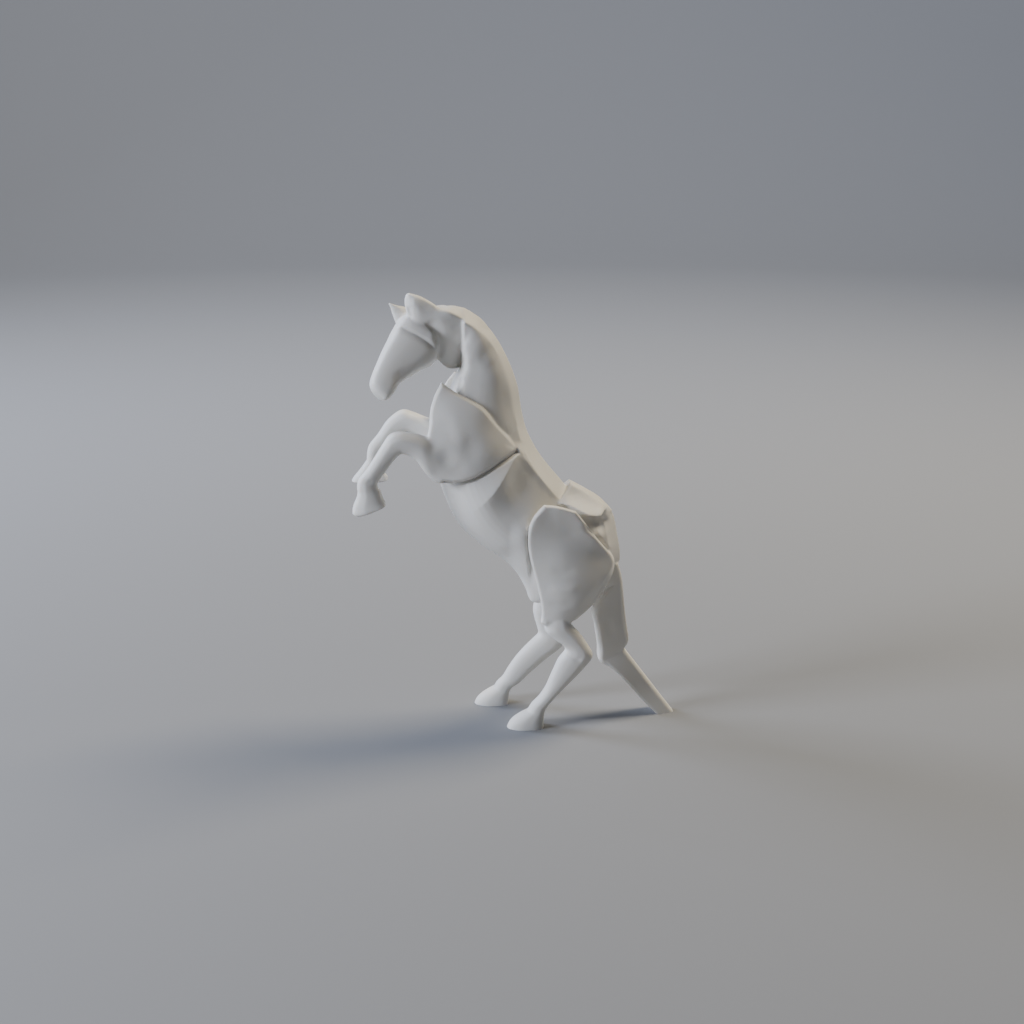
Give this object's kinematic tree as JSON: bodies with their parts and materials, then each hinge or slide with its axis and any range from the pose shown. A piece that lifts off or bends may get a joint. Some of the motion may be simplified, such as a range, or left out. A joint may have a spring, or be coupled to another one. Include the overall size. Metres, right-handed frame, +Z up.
{
  "type": "rearing horse figurine",
  "caption": "Small stylised horse rearing on its hind hooves and tail, printed in one piece in matt white plastic, with smooth plate-like shoulders and haunches.",
  "frame": {"origin": "on the table, at the bottom centre of the figurine's box", "axes": "+Z up, the horse faces -X, its left side faces -Y"},
  "size_m": [0.1144, 0.038, 0.1534],
  "materials": {
    "nylon": "sintered nylon as printed: off-white, matt, very fine grain, slightly milky"
  },
  "bodies": {
    "root": {"horse": "nylon"}
  },
  "joints": []
}
